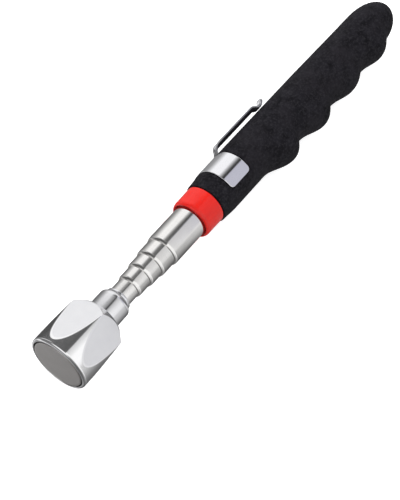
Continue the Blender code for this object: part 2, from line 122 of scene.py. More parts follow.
# The finger bumps: the place and height of each crest, and of the valley on either side.
BUMP_CRESTS = (0.1291, 0.1507, 0.1726, 0.1949)
BUMP_HEIGHTS = (0.00445, 0.00435, 0.0037, 0.0034)
VALLEYS = (0.1138, 0.1348, 0.1575, 0.1808, 0.2022)
VALLEY_HEIGHTS = (0.0, 0.00085, 0.00095, 0.0011, 0.0003)

# ---------------------------------------------------------------- sizes of the pocket clip
CLIP_SHEET = 0.0006
BAND_WRAP = radians(112.0)
BAND_CORNER = 0.0017
NOTCH_FRONT = 0.1050
NOTCH_HALF = radians(20.5)
GROOVE_RADIUS = 0.00892
ARM_ROOT_X = 0.10515
ARM_ROOT_HALF = 0.0030
ARM_WAIST_HALF = 0.0018
ARM_TIP_HALF = 0.0025
ARM_RISE = 0.0042                        # the arm climbs from the band over this length
ARM_LIFT = 0.00148
ROOT_ARCH = 0.0005                       # the root is bowed like the band
ARM_ARCH = -0.0013                       # the arm's cut edges are turned up instead
DROP_X = 0.1317
DIP_X = 0.1343
DIP_LIFT = 0.0007
FLARE_X = 0.1357
FLARE_RADIUS = 0.0028
FLARE_SWEEP = 78.0
CUT_EDGE = 0.00035                       # dull stretch along each cut edge of the arm, also painted darker there as shade

FLOOR_GAP = 0.00005
FLOOR_Z = -HEAD_RADIUS - FLOOR_GAP


# ================================================================ outlines
def smooth(t):
    """Eases from 0 to 1, level at both ends."""
    t = min(1.0, max(0.0, t))
    return t * t * (3.0 - 2.0 * t)


def run(start, stop, steps):
    """Evenly spaced pairs of numbers, such as outline points, after start and up to stop."""
    (x, r), (end_x, end_r) = start, stop
    return [(x + (end_x - x) * i / steps, r + (end_r - r) * i / steps) for i in range(1, steps + 1)]


def arc(centre_x, centre_r, radius, start, stop, steps):
    """Outline points on an arc, angles in degrees from +X towards growing radius."""
    points = []
    for i in range(steps + 1):
        a = radians(start + (stop - start) * i / steps)
        points.append((centre_x + radius * cos(a), centre_r + radius * sin(a)))
    return points


def eased(start, corner, stop, steps):
    """Points from start to stop on a curve drawn towards the corner."""
    points = []
    for i in range(steps + 1):
        t = i / steps
        points.append(start * (1 - t) ** 2 + corner * (2 * t * (1 - t)) + stop * t * t)
    return points


def rounded(outline, radius, steps):
    """A closed outline with each corner eased, and a holding point on each side of it."""
    share_of_side = 0.3
    hold = 1.5
    result = []
    for i, point in enumerate(outline):
        here = Vector(point)
        back = Vector(outline[i - 1]) - here
        ahead = Vector(outline[(i + 1) % len(outline)]) - here
        to_back = back.normalized() * min(radius, share_of_side * back.length)
        to_ahead = ahead.normalized() * min(radius, share_of_side * ahead.length)
        result.append(here + to_back * hold)
        result += eased(here + to_back, here, here + to_ahead, steps)
        result.append(here + to_ahead * hold)
    return result


# ================================================================ meshes
def add_object(name, bm, mat, body, cad_node, sharp_angle=40.0):
    """A finished piece that rides on its body and stands for one CAD node."""
    bmesh.ops.recalc_face_normals(bm, faces=bm.faces)
    mesh = bpy.data.meshes.new(name)
    bm.to_mesh(mesh)
    bm.free()
    mesh.shade_smooth()
    mesh.set_sharp_from_angle(angle=radians(sharp_angle))
    mesh.materials.append(mat)
    obj = bpy.data.objects.new(name, mesh)
    bpy.context.scene.collection.objects.link(obj)
    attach(obj, body)
    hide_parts(cad_node)
    return obj


def loft(rings, closed=False):
    """Skins equal rings of points in order; the ends are capped unless the path closes."""
    bm = bmesh.new()
    loops = [[bm.verts.new(point) for point in points] for points in rings]
    pairs = list(zip(loops, loops[1:]))
    if closed:
        pairs.append((loops[-1], loops[0]))
    for first, second in pairs:
        count = len(first)
        for i in range(count):
            j = (i + 1) % count
            bm.faces.new((first[i], first[j], second[j], second[i]))
    if not closed:
        bm.faces.new(loops[0])
        bm.faces.new(loops[-1])
    return bm


def circle_angles(segments):
    return [2 * pi * i / segments for i in range(segments)]


def ring(x, radii):
    """Points round the axis at x, from overhead towards the bumps, one for each radius."""
    angles = circle_angles(len(radii))
    return [Vector((x, -r * sin(a), r * cos(a))) for a, r in zip(angles, radii)]


def around(x, radius, segments):
    return ring(x, [radius] * segments)


def turned(outline, segments):
    """A closed outline turned round the tool's axis."""
    return loft([around(x, r, segments) for x, r in outline], closed=True)


# ================================================================ node materials
class Nodes:
    """Short calls that add nodes to a tree."""

    def __init__(self, tree):
        self.tree = tree

    def add(self, kind, **settings):
        """A new node of this kind, with its own settings."""
        node = self.tree.nodes.new("ShaderNode" + kind)
        for key, value in settings.items():
            setattr(node, key, value)
        return node

    def link(self, source, target):
        """Joins a socket to another one, or sets it to a plain value."""
        if isinstance(source, (int, float, tuple)):
            target.default_value = source
        else:
            self.tree.links.new(source, target)

    def math(self, operation, a, b=0.0, c=0.0):
        node = self.add("Math", operation=operation)
        for value, socket in zip((a, b, c), node.inputs):
            self.link(value, socket)
        return node.outputs[0]

    def split(self, vector):
        node = self.add("SeparateXYZ")
        self.link(vector, node.inputs[0])
        return node.outputs

    def join(self, x, y, z):
        node = self.add("CombineXYZ")
        for value, socket in zip((x, y, z), node.inputs):
            self.link(value, socket)
        return node.outputs[0]

    def mix(self, factor, a, b):
        """Colour a where the factor is 0 and b where it is 1."""
        node = self.add("Mix", data_type="RGBA")
        self.link(factor, node.inputs["Factor"])
        for value, socket in ((a, node.inputs["A"]), (b, node.inputs["B"])):
            self.link((*value, 1.0) if isinstance(value, tuple) else value, socket)
        return node.outputs["Result"]

    def ramp(self, value, stops):
        """A tone for each place from 0 to 1; a tone is a grey or a colour."""
        node = self.add("ValToRGB")
        self.link(value, node.inputs[0])
        elements = node.color_ramp.elements
        while len(elements) < len(stops):
            elements.new(0.5)
        for element, (place, tone) in zip(elements, stops):
            element.position = place
            element.color = (*tone, 1.0) if isinstance(tone, tuple) else (tone, tone, tone, 1.0)
        return node.outputs[0]


class Surface(Nodes):
    """A material, built from nodes in the object's own coordinates."""

    def __init__(self, name):
        self.material = bpy.data.materials.new(name)
        self.material.use_nodes = True
        super().__init__(self.material.node_tree)
        self.shader = self.tree.nodes["Principled BSDF"]
        self.place = self.add("TexCoord").outputs["Object"]

    def along(self):
        """The place along the tool."""
        return self.split(self.place)[0]

    def angle(self):
        """The angle round the tool's axis."""
        y, z = self.split(self.place)[1:]
        return self.math("ARCTAN2", y, z)

    def radius(self):
        """The distance from the tool's axis."""
        y, z = self.split(self.place)[1:]
        squares = self.math("ADD", self.math("MULTIPLY", y, y), self.math("MULTIPLY", z, z))
        return self.math("SQRT", squares)

    def stretch(self, scale):
        """The object's own coordinates multiplied along each axis."""
        node = self.add("VectorMath", operation="MULTIPLY")
        self.link(self.place, node.inputs[0])
        self.link(scale, node.inputs[1])
        return node.outputs[0]

    def noise(self, vector, scale, detail=2.0, roughness=0.5, distortion=0.0):
        node = self.add("TexNoise")
        self.link(vector, node.inputs["Vector"])
        node.inputs["Scale"].default_value = scale
        node.inputs["Detail"].default_value = detail
        node.inputs["Roughness"].default_value = roughness
        node.inputs["Distortion"].default_value = distortion
        return node.outputs["Fac"]

    def tooling(self, *coordinates, detail=2.0, roughness=0.5):
        """Noise that follows up to three coordinates, each given with how dense it is."""
        scaled = [self.math("MULTIPLY", socket, density) for socket, density in coordinates]
        scaled += [0.0] * (3 - len(scaled))
        return self.noise(self.join(*scaled), 1.0, detail, roughness)

    def cells(self, scale):
        node = self.add("TexVoronoi")
        self.link(self.place, node.inputs["Vector"])
        node.inputs["Scale"].default_value = scale
        return node.outputs["Distance"]

    def band(self, value, low, high, to_low=0.0, to_high=1.0):
        """Eases from one number to another while the value goes from low to high."""
        node = self.add("MapRange", interpolation_type="SMOOTHSTEP")
        self.link(value, node.inputs["Value"])
        node.inputs["From Min"].default_value = low
        node.inputs["From Max"].default_value = high
        node.inputs["To Min"].default_value = to_low
        node.inputs["To Max"].default_value = to_high
        return node.outputs["Result"]

    def bump(self, height, distance, strength, before=None):
        node = self.add("Bump")
        node.inputs["Distance"].default_value = distance
        node.inputs["Strength"].default_value = strength
        self.link(height, node.inputs["Height"])
        if before is not None:
            self.link(before, node.inputs["Normal"])
        return node.outputs["Normal"]

    def finish(self, colour, roughness, normal=None, **others):
        """Sets the shader's sockets and hands over the material."""
        names = {"metallic": "Metallic", "specular": "Specular IOR Level",
                 "coat": "Coat Weight", "coat_roughness": "Coat Roughness"}
        self.link(colour, self.shader.inputs["Base Color"])
        self.link(roughness, self.shader.inputs["Roughness"])
        if normal is not None:
            self.link(normal, self.shader.inputs["Normal"])
        for key, value in others.items():
            self.link(value, self.shader.inputs[names[key]])
        return self.material


def dull_shaded_edges(s, cut_half):
    """1 on the cut edges of the clip's arm, which come nearer to its middle at the waist; there the
    plating is duller and carries painted shade.
    """
    waist = s.band(s.along(), ARM_ROOT_X + 0.0034, ARM_ROOT_X + 0.0060,
                   ARM_TIP_HALF - ARM_WAIST_HALF, 0.0)
    across = s.math("ADD", s.math("ABSOLUTE", s.split(s.place)[2]), waist)
    return s.band(across, cut_half, cut_half + 0.00025)


def plated(name, colour, roughness, cut_half=None):
    """Bright plating: faint cloudiness, fine polishing lines round the axis, tiny scuffs.

    The cut edges of a strip, further than cut_half to each side, are left duller, and are painted
    darker as shade."""
    s = Surface(name)
    tint_range = 0.03
    lines = s.tooling((s.along(), 9000.0), (s.angle(), 3.0), detail=3.0)
    cloud = s.noise(s.place, 260.0, 3.0, 0.6)
    scuff = s.band(s.noise(s.stretch((900.0, 2600.0, 900.0)), 1.0, 2.0, 0.7), 0.66, 0.74)
    pale = tuple(min(1.0, c + tint_range) for c in colour)
    dull = tuple(c - tint_range for c in colour)
    tint = s.mix(cloud, dull, pale)
    rough = s.math("ADD", s.math("MULTIPLY", cloud, 0.06),
                   s.math("MULTIPLY_ADD", lines, 0.03, roughness - 0.045))
    rough = s.math("MULTIPLY_ADD", scuff, 0.10, rough)
    if cut_half is not None:
        edge_dull_and_shade = dull_shaded_edges(s, cut_half)
        # Painted shade: the edge stretch is tinted dark grey, standing in for the dark reflection
        # along the arm's turned-up edges; the added roughness is the edges' dullness.
        tint = s.mix(edge_dull_and_shade, tint, (0.42, 0.42, 0.43))
        rough = s.math("MULTIPLY_ADD", edge_dull_and_shade, 0.15, rough)
    normal = s.bump(lines, 0.0000015, 0.4, s.bump(cloud, 0.00001, 0.15))
    return s.finish(tint, rough, normal, metallic=1.0)


def ground_chrome():
    """The magnet housing: polished where it is turned, cross-ground on the flats."""
    s = Surface("housing_chrome")
    turned_in = s.band(s.radius(), HEAD_RADIUS - 0.00022, HEAD_RADIUS - 0.00008)
    rings = s.tooling((s.along(), 12000.0), (s.angle(), 1.0))
    strokes = s.tooling((s.along(), 16000.0), (s.radius(), 900.0), (s.angle(), 1.0),
                        detail=3.0, roughness=0.6)
    cloud = s.noise(s.place, 330.0, 3.0, 0.6)
    relief = s.mix(turned_in, strokes, rings)
    tint = s.mix(turned_in, s.mix(cloud, (0.80, 0.80, 0.825), (0.87, 0.87, 0.885)),
                 s.mix(cloud, (0.90, 0.90, 0.915), (0.97, 0.97, 0.975)))
    polished = s.math("MULTIPLY_ADD", cloud, 0.05, 0.055)
    satin = s.math("MULTIPLY_ADD", strokes, 0.08, 0.12)
    rough = s.math("ADD", s.math("MULTIPLY", turned_in, polished),
                   s.math("MULTIPLY", s.math("SUBTRACT", 1.0, turned_in), satin))
    normal = s.bump(relief, 0.000002, 0.5, s.bump(cloud, 0.00001, 0.12))
    return s.finish(tint, rough, normal, metallic=1.0)


def tube_steel():
    """Drawn stainless tube: fine lines along it, a warm tone and slight rubbing bands."""
    s = Surface("tube_steel")
    drawn = s.tooling((s.along(), 260.0), (s.angle(), 55.0), (s.radius(), 1.0),
                      detail=4.0, roughness=0.6)
    rings = s.tooling((s.along(), 5200.0), (s.angle(), 1.0), roughness=0.6)
    cloud = s.noise(s.place, 180.0, 3.0, 0.6)
    tint = s.mix(cloud, (0.86, 0.845, 0.83), (0.95, 0.94, 0.93))
    tint = s.mix(s.math("MULTIPLY", s.band(rings, 0.55, 0.75), 0.25), tint, (0.74, 0.72, 0.70))
    rough = s.math("MULTIPLY_ADD", cloud, 0.07, s.math("MULTIPLY_ADD", drawn, 0.05, 0.045))
    normal = s.bump(drawn, 0.000004, 0.35, s.bump(rings, 0.0000015, 0.5))
    return s.finish(tint, rough, normal, metallic=1.0)


def turned_face():
    """The magnet's pole disc: satin steel with fine turning rings and dull handling marks."""
    s = Surface("pole_face_steel")
    rings = s.tooling((s.radius(), 7000.0), (s.angle(), 2.0), detail=3.0, roughness=0.6)
    cloud = s.noise(s.place, 170.0, 4.0, 0.6)
    tint = s.mix(cloud, (0.50, 0.48, 0.472), (0.65, 0.627, 0.616))
    tint = s.mix(s.math("MULTIPLY", rings, 0.25), tint, (0.76, 0.74, 0.73))
    rough = s.math("MULTIPLY_ADD", cloud, 0.14, s.math("MULTIPLY_ADD", rings, 0.10, 0.26))
    normal = s.bump(rings, 0.000004, 0.5, s.bump(cloud, 0.00002, 0.2))
    return s.finish(tint, rough, normal, metallic=1.0)


def turned_steel():
    """Plain turned steel for the screw and the backing plate."""
    s = Surface("turned_steel")
    rings = s.tooling((s.along(), 6000.0), (s.radius(), 6000.0), (s.angle(), 1.0))
    cloud = s.noise(s.place, 250.0, 3.0)
    tint = s.mix(cloud, (0.45, 0.45, 0.46), (0.60, 0.60, 0.61))
    rough = s.math("MULTIPLY_ADD", rings, 0.2, 0.25)
    return s.finish(tint, rough, s.bump(rings, 0.000005, 0.5), metallic=1.0)


def sintered():
    """The magnet itself: fine dark grains under a thin nickel skin."""
    s = Surface("sintered_magnet")
    grain = s.cells(5200.0)
    cloud = s.noise(s.place, 300.0, 3.0)
    tint = s.mix(cloud, (0.17, 0.17, 0.18), (0.28, 0.28, 0.29))
    rough = s.math("MULTIPLY_ADD", grain, 0.3, 0.40)
    return s.finish(tint, rough, s.bump(grain, 0.00002, 0.4), metallic=0.6)


def moulded(name, dark, light, roughness):
    """Plain moulded black plastic with a fine spark-eroded grain."""
    s = Surface(name)
    grain = s.noise(s.place, 5200.0, 3.0, 0.65)
    cloud = s.noise(s.place, 210.0, 2.0)
    rough = s.math("MULTIPLY_ADD", grain, 0.16, roughness - 0.08)
    return s.finish(s.mix(cloud, dark, light), rough, s.bump(grain, 0.00002, 0.5))


def brass_strip():
    """Rolled brass of the friction sleeves: rolling lines along the tool, rubbed patches."""
    s = Surface("rolled_brass")
    lines = s.tooling((s.along(), 300.0), (s.angle(), 120.0), detail=3.0)
    rubbed = s.noise(s.place, 500.0, 3.0)
    tint = s.mix(rubbed, (0.70, 0.52, 0.23), (0.84, 0.68, 0.36))
    rough = s.math("MULTIPLY_ADD", lines, 0.18, 0.18)
    return s.finish(tint, rough, s.bump(lines, 0.000005, 0.5), metallic=1.0)


def glossy_red():
    """The collar's glossy red plastic: slow flow marks, faint orange peel, soft handling wear, and
    painted shade on the nose.
    """
    s = Surface("glossy_red_plastic")
    flow = s.noise(s.stretch((160.0, 420.0, 420.0)), 1.0, 3.0, 0.55, 0.4)
    peel = s.noise(s.place, 1300.0, 2.0)
    worn = s.band(s.noise(s.place, 700.0, 4.0, 0.7), 0.52, 0.78)
    # Painted shade: the nose behind the lip is tinted a deeper red, standing in for the shade where
    # it faces away from the light above.
    painted_nose_shade = s.band(s.along(), COLLAR_FRONT + 0.0014, COLLAR_FRONT + 0.0028, 0.35, 0.0)
    tint = s.mix(flow, (0.50, 0.009, 0.006), (0.65, 0.018, 0.012))
    tint = s.mix(painted_nose_shade, tint, (0.36, 0.010, 0.008))
    rough = s.math("MULTIPLY_ADD", worn, 0.10, s.math("MULTIPLY_ADD", flow, 0.05, 0.13))
    normal = s.bump(peel, 0.00002, 0.12, s.bump(flow, 0.0001, 0.06))
    return s.finish(tint, rough, normal, specular=0.3, coat=0.10, coat_roughness=0.06)


def foam_rubber():
    """Closed-cell foam: pinhole cells, soft mottling and a slightly polished skin."""
    s = Surface("closed_cell_foam")
    wobble = s.noise(s.place, 900.0, 2.0)
    cell = s.cells(2300.0)
    fine = s.noise(s.place, 5200.0, 3.0, 0.7)
    mottle = s.noise(s.place, 230.0, 4.0, 0.62)
    patch = s.noise(s.place, 75.0, 3.0, 0.5)
    grain = s.noise(s.place, 1150.0, 3.0, 0.7)
    tint = s.mix(s.band(mottle, 0.3, 0.7), (0.0030, 0.0028, 0.0040), (0.0105, 0.0098, 0.0130))
    for share, strength, colour in (
            (s.band(grain, 0.47, 0.62), 0.6, (0.0220, 0.0210, 0.0245)),
            (s.band(patch, 0.42, 0.68), 0.4, (0.0145, 0.0130, 0.0160)),
            (s.band(cell, 0.0, 0.35, 1.0, 0.0), 0.5, (0.003, 0.003, 0.0035))):
        tint = s.mix(s.math("MULTIPLY", share, strength), tint, colour)
    rough = s.math("MULTIPLY_ADD", fine, 0.2, s.math("MULTIPLY_ADD", mottle, -0.10, 0.72))
    soft = s.bump(fine, 0.00003, 0.5, s.bump(wobble, 0.00008, 0.25))
    normal = s.bump(s.band(cell, 0.0, 0.5), 0.00006, 0.45, soft)
    return s.finish(tint, rough, normal, specular=0.12)


def spacer_black():
    """The dark ring sunk in the groove round the magnet: matte, dusty potting compound."""
    return moulded("groove_black", (0.012, 0.012, 0.012), (0.03, 0.029, 0.028), 0.6)


# ================================================================ magnet head
def housing_outer():
    """Outer outline of the housing before the flats: rim, side, rear chamfer, rear edge."""
    edge = 0.00035
    rear_edge = 0.0003
    side_start = (RIM_FRONT + RIM_ROUND, HEAD_RADIUS)
    corner = Vector((CHAMFER_START, HEAD_RADIUS))
    rear_corner = Vector((HEAD_LENGTH, CHAMFER_RADIUS))
    along = (rear_corner - corner).normalized()
    chamfer_start = corner + along * edge
    chamfer_end = rear_corner - along * rear_edge
    rear_start = rear_corner - Vector((0.0, rear_edge))

    outer = arc(side_start[0], HEAD_RADIUS - RIM_ROUND, RIM_ROUND, 180, 90, 14)
    outer += run(side_start, (CHAMFER_START - edge, HEAD_RADIUS), 140)
    outer += eased(corner - Vector((edge, 0.0)), corner, chamfer_start, 5)[1:]
    outer += run(chamfer_start, chamfer_end, 22)
    outer += eased(chamfer_end, rear_corner, rear_start, 4)[1:]
    return outer


def housing_inner():
    """The screw's bore and recess, the magnet's pocket and the rim's broken inner edge."""
    return [
        (HEAD_LENGTH, SCREW_BORE), (RECESS_DEPTH, SCREW_BORE), (RECESS_DEPTH, RECESS_RADIUS),
        (POCKET_DEPTH, RECESS_RADIUS), (POCKET_DEPTH, RIM_INNER), (RIM_FRONT + 0.0004, RIM_INNER),
        (RIM_FRONT + 0.00018, RIM_INNER + 0.00002), (RIM_FRONT + 0.00005, RIM_INNER + 0.00007),
        (RIM_FRONT, RIM_INNER + 0.00016),
    ]


def flat_height(x):
    """Distance of a flat from the axis at x, hollow-ground along the tool by a big wheel."""
    lean = atan(FLAT_SLOPE)
    wheel_x = FLAT_START + FLAT_WHEEL * sin(lean)
    wheel_r = HEAD_RADIUS + FLAT_WHEEL * cos(lean)
    return wheel_r - sqrt(FLAT_WHEEL ** 2 - (x - wheel_x) ** 2)


def housing_radius(x, r, angle):
    """The turned radius r cut back by the flats, with every edge slightly broken."""
    if x <= FLAT_START - FLAT_RUN_OUT:
        return r
    reach = radians(60)
    edge = 0.000022
    values = [r]
    for k in range(FLAT_COUNT):
        offset = (angle - FLAT_PHASE - 2 * pi * k / FLAT_COUNT + pi) % (2 * pi) - pi
        if abs(offset) < reach:
            values.append(flat_height(x) / cos(offset))
    low = min(values)
    return low - edge * log(sum(exp(-(v - low) / edge) for v in values))


def make_housing():
    """The housing, turned all round and then cut back by its flats."""
    segments = 360
    angles = circle_angles(segments)
    rings = [ring(x, [housing_radius(x, r, a) for a in angles]) for x, r in housing_outer()]
    rings += [around(x, r, segments) for x, r in housing_inner()]
    add_object("magnet_housing_ground", loft(rings, closed=True), ground_chrome(),
               "head", "magnet_housing", 60.0)


def make_pole_disc():
    """The disc's face has a fine turned finish and a broken edge."""
    edge = 0.00016
    back_edge = 0.0002
    profile = run((0.0, 0.0), (0.0, DISC_RADIUS - edge), 20)
    profile += [(0.00005, DISC_RADIUS - 0.00006), (edge, DISC_RADIUS)]
    profile += [(DISC_THICK - back_edge, DISC_RADIUS), (DISC_THICK, DISC_RADIUS - back_edge)]
    rings = [around(x, r, 128) for x, r in profile]
    add_object("pole_disc_face", loft(rings), turned_face(), "head", "pole_disc")


def make_spacer():
    """The filler's front sinks a little towards its middle."""
    clearance = 0.0001
    sink = 0.0001
    low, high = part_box("spacer_ring")
    inner = DISC_RADIUS + clearance
    outer = RIM_INNER - clearance
    profile = [(low.x, inner), (low.x + sink, (inner + outer) / 2), (low.x, outer),
               (high.x, outer), (high.x, inner)]
    add_object("groove_filler", turned(profile, 96), spacer_black(),
               "head", "spacer_ring")


def make_neck(mat):
    """The ferrule: a broken front edge, a round shoulder, and a socket for the first tube."""
    socket = TUBE_1_RADIUS + 0.0001
    side_start = NECK_FRONT + 0.0006
    side_end = NECK_SHOULDER - 0.0004
    outline = [(NECK_FRONT, NECK_RADIUS - 0.0003), (NECK_FRONT + 0.0001, NECK_RADIUS - 0.0001),
               (NECK_FRONT + 0.0003, NECK_RADIUS), (side_start, NECK_RADIUS)]
    outline += run((side_start, NECK_RADIUS), (side_end, NECK_RADIUS), 10)
    outline += arc(NECK_SHOULDER, NECK_RADIUS - NECK_ROUND, NECK_ROUND, 90, 8, 12)
    outline += [(NECK_BACK - 0.00008, socket + 0.0002), (NECK_BACK, socket + 0.0001),
                (NECK_BACK, socket), (SOCKET_FRONT, socket), (SOCKET_FRONT, SCREW_BORE),
                (NECK_FRONT, SCREW_BORE)]
    add_object("neck_ferrule", turned(outline, 120), mat, "head", "neck_collar")


def make_crimp(mat):
    """A rolled bead round the first tube, behind the neck."""
    low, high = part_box("crimp_ring")
    inner = TUBE_1_RADIUS + 0.00004
    outer = high.y
    outline = [(low.x, inner), (low.x, outer), (high.x - 0.0002, outer), (high.x, outer - 0.0003),
               (high.x, inner)]
    add_object("crimp_bead", turned(rounded(outline, 0.0003, 6), 96), mat,
               "head", "crimp_ring")


# ================================================================ telescoping tubes
def tube_radius(number):
    return TUBE_1_RADIUS + TUBE_STEP * (number - 1)


def bead_points(x, radius):
    """A low rolled ring in the tube's wall."""
    points = []
    for i in range(9):
        t = i / 4 - 1
        points.append((x + BEAD_HALF * t, radius + BEAD_HEIGHT * cos(t * pi / 2) ** 2))
    return points


def mouth_points(number):
    """The end of a tube: a rounded lip that nearly meets the next tube, and a spun-in shoulder."""
    radius = tube_radius(number)
    mouth = MOUTHS[number]
    lip_bore = tube_radius(number - 1) + MOUTH_GAP
    lip_top = lip_bore + 2 * MOUTH_LIP
    shoulder_start = mouth + MOUTH_LIP
    lean_back = tan(radians(2.5))
    swoop = (radius - lip_top) / MOUTH_SHOULDER - lean_back
    points = [(mouth + 0.0018, radius - TUBE_WALL), (mouth + 0.0010, lip_bore)]
    points += arc(shoulder_start, lip_bore + MOUTH_LIP, MOUTH_LIP, 270, 104, 14)
    steps = 14
    for i in range(1, steps + 1):
        t = 1.0 - i / steps
        drop = MOUTH_SHOULDER * (lean_back * t + swoop * t * t)
        points.append((shoulder_start + MOUTH_SHOULDER * (1.0 - t), radius - drop))
    points.append((shoulder_start + MOUTH_SHOULDER + 0.0005, radius))
    return points


def make_tube(number, mat, body):
    """A tube; an inner one has two beads near its back that keep its friction sleeve in place."""
    radius = tube_radius(number)
    bore = radius - TUBE_WALL
    is_outer = number == OUTER_TUBE
    back = OUTER_TUBE_BACK if is_outer else TUBE_BACK
    if number == 1:
        front = SOCKET_FRONT + 0.00015
        outline = [(front, bore), (front, radius)]
    else:
        outline = mouth_points(number)
    if not is_outer:
        outline += bead_points(STOP_BEAD, radius) + bead_points(KEEPER_BEAD, radius)
    outline += [(back, radius), (back, bore)]
    add_object(f"tube_section_{number}", turned(outline, 96), mat,
               body, f"tube_{number}", 50.0)


# ================================================================ handle
def make_collar():
    """Glossy collar: a recess and lip at the mouth, a rounded nose, a side that swells slightly."""
    bore = tube_radius(OUTER_TUBE) + 0.0001
    lip = COLLAR_LIP_X
    lip_round = 0.00015
    back_round = 0.0003
    outline = [(lip + 0.0010, bore), (lip + 0.0007, bore + 0.00008),
               (lip + 0.0004, COLLAR_LIP_RADIUS - 0.0002)]
    outline += arc(lip + lip_round, COLLAR_LIP_RADIUS, lip_round, -120, -170, 5)

    nose_top = COLLAR_RADIUS - 0.00008
    rise = nose_top - COLLAR_LIP_RADIUS
    steps = 16
    for i in range(steps + 1):
        a = radians(90 * i / steps)
        outline.append((lip + COLLAR_NOSE * (1 - cos(a)), COLLAR_LIP_RADIUS + rise * sin(a)))

    side_start = lip + COLLAR_NOSE
    side_end = COLLAR_BACK - 0.0005
    for x, t in run((side_start, 0.0), (side_end, 1.0), 10):
        outline.append((x, nose_top + (COLLAR_RADIUS - nose_top) * smooth(t)))
    outline += arc(COLLAR_BACK - back_round, COLLAR_RADIUS - back_round, back_round, 90, 0, 6)
    outline += [(COLLAR_BACK, LINER_RADIUS), (COLLAR_SPIGOT_END, LINER_RADIUS),
                (COLLAR_SPIGOT_END, bore)]
    add_object("collar_shell", turned(outline, 128), glossy_red(),
               "handle", "grip_collar")


def grip_round(x):
    """Radius of the round grip at x, before the finger bumps and the band's groove."""
    if x >= TAIL_START:
        t = (x - TAIL_START) / (TAIL_POINT - TAIL_START)
        return (GRIP_RADIUS - TAIL_TAPER) * sqrt(max(0.0, 1.0 - t ** 2.45))
    mouth_length = 0.008
    radius = GRIP_MOUTH_RADIUS
    radius += (GRIP_RADIUS - GRIP_MOUTH_RADIUS) * smooth((x - GRIP_FRONT) / mouth_length)
    return radius - TAIL_TAPER * smooth((x - TAPER_START) / (TAIL_START - TAPER_START))


def sharp_bump(x):
    """Height of the finger bumps at x: a slow rise to each crest and a quick fall after it."""
    if x <= VALLEYS[0]:
        return 0.0
    if x >= VALLEYS[-1]:
        t = min(1.0, (x - VALLEYS[-1]) / (TAIL_POINT - VALLEYS[-1]))
        return VALLEY_HEIGHTS[-1] * (1.0 - t) + TAIL_FULLNESS * max(0.0, sin(pi * t))
    i = max(k for k, start in enumerate(VALLEYS) if x > start)
    crest, top = BUMP_CRESTS[i], BUMP_HEIGHTS[i]
    if x <= crest:
        lateness = 1.0 if i == 0 else 1.35
        rise = smooth(((x - VALLEYS[i]) / (crest - VALLEYS[i])) ** lateness)
        return VALLEY_HEIGHTS[i] + (top - VALLEY_HEIGHTS[i]) * rise
    fall = ((x - crest) / (VALLEYS[i + 1] - crest)) ** 2.5
    return top + (VALLEY_HEIGHTS[i + 1] - top) * fall


def bump_height(x):
    """The bumps with their valleys eased, as foam leaves a mould."""
    reach = 0.0026
    weights = (1, 4, 8, 10, 8, 4, 1)
    middle = len(weights) // 2
    places = [x + reach * (k - middle) / middle for k in range(len(weights))]
    return sum(w * sharp_bump(p) for w, p in zip(weights, places)) / sum(weights)


def squeeze(x, from_arm):
    """How far the band presses the foam in, from 0 to 1, with a soft shoulder at each side."""
    shoulder = 0.00055
    side = min(x - (BAND_FRONT - shoulder), (BAND_BACK + shoulder) - x) / shoulder
    end = (BAND_WRAP + radians(7.0) - from_arm) / radians(6.0)
    return smooth(side) * smooth(end)


def swell(x, from_arm):
    """Foam pushed aside by the band stands up a little around it."""
    height = 0.00013
    crest = 0.0012
    width = 0.0010
    gap = max(BAND_FRONT - x, x - BAND_BACK, (from_arm - BAND_WRAP) * GRIP_RADIUS, 0.0)
    return height * exp(-((gap - crest) / width) ** 2)


def grip_radius(x, angle):
    """Radius of the foam, with the band's groove, the fuller clip side and the finger bumps."""
    radius = grip_round(x)
    from_arm = abs((angle + 1.5 * pi) % (2 * pi) - pi)
    near_band = GRIP_FRONT + 0.003 < x < BAND_BACK + 0.0055
    if near_band:
        radius += swell(x, from_arm)
        radius += (GROOVE_RADIUS - radius) * squeeze(x, from_arm)
    away = smooth((x - BAND_BACK) / 0.004) * smooth((TAIL_POINT - x) / 0.02)
    radius += CLIP_SIDE_FULLNESS * away * max(0.0, -sin(angle))
    lobe = max(0.0, sin(angle)) ** 1.6
    return radius + bump_height(x) * lobe


def grip_stations():
    """Places along the grip, close together at the band's edges and on the tail."""
    outside = 0.0012
    inside = 0.0009
    close_from = 0.2050
    stretches = (
        (GRIP_FRONT + 0.0010, BAND_FRONT - outside, 20),
        (BAND_FRONT - outside, BAND_FRONT + inside, 18),
        (BAND_FRONT + inside, BAND_BACK - inside, 24),
        (BAND_BACK - inside, BAND_BACK + outside, 18),
        (BAND_BACK + outside, close_from, 250),
    )
    places = []
    for start, stop, count in stretches:
        places += [start + (stop - start) * i / count for i in range(count)]
    count = 48
    tail = GRIP_TAIL - close_from
    places += [close_from + tail * sin(radians(90 * i / count)) for i in range(count + 1)]
    return places


def make_grip():
    """The foam grip: a blind bore, a rounded mouth and the moulded outside."""
    segments = 160
    mouth = 0.0004
    rings = [around(GRIP_BORE_END, GRIP_BORE, segments), around(GRIP_FRONT, GRIP_BORE, segments)]
    for i in range(9):
        a = radians(90 * i / 8)
        x = GRIP_FRONT + mouth * (1 - cos(a))
        r = grip_round(GRIP_FRONT) - mouth * (1 - sin(a))
        rings.append(around(x, r, segments))
    angles = circle_angles(segments)
    rings += [ring(x, [grip_radius(x, a) for a in angles]) for x in grip_stations()]
    grip = add_object("foam_grip_soft", loft(rings), foam_rubber(),
                      "handle", "foam_grip", 60.0)


# ================================================================ pocket clip
def band_span(angle):
    """Front and back of the band's sheet at an angle from the arm."""
    front, back = BAND_FRONT, BAND_BACK
    left = (BAND_WRAP - abs(angle)) * BAND_RADIUS
    if left < BAND_CORNER:
        inset = BAND_CORNER - sqrt(max(0.0, BAND_CORNER ** 2 - (BAND_CORNER - left) ** 2))
        front += inset
        back -= inset
    if abs(angle) < NOTCH_HALF:
        back = NOTCH_FRONT
    return front, back


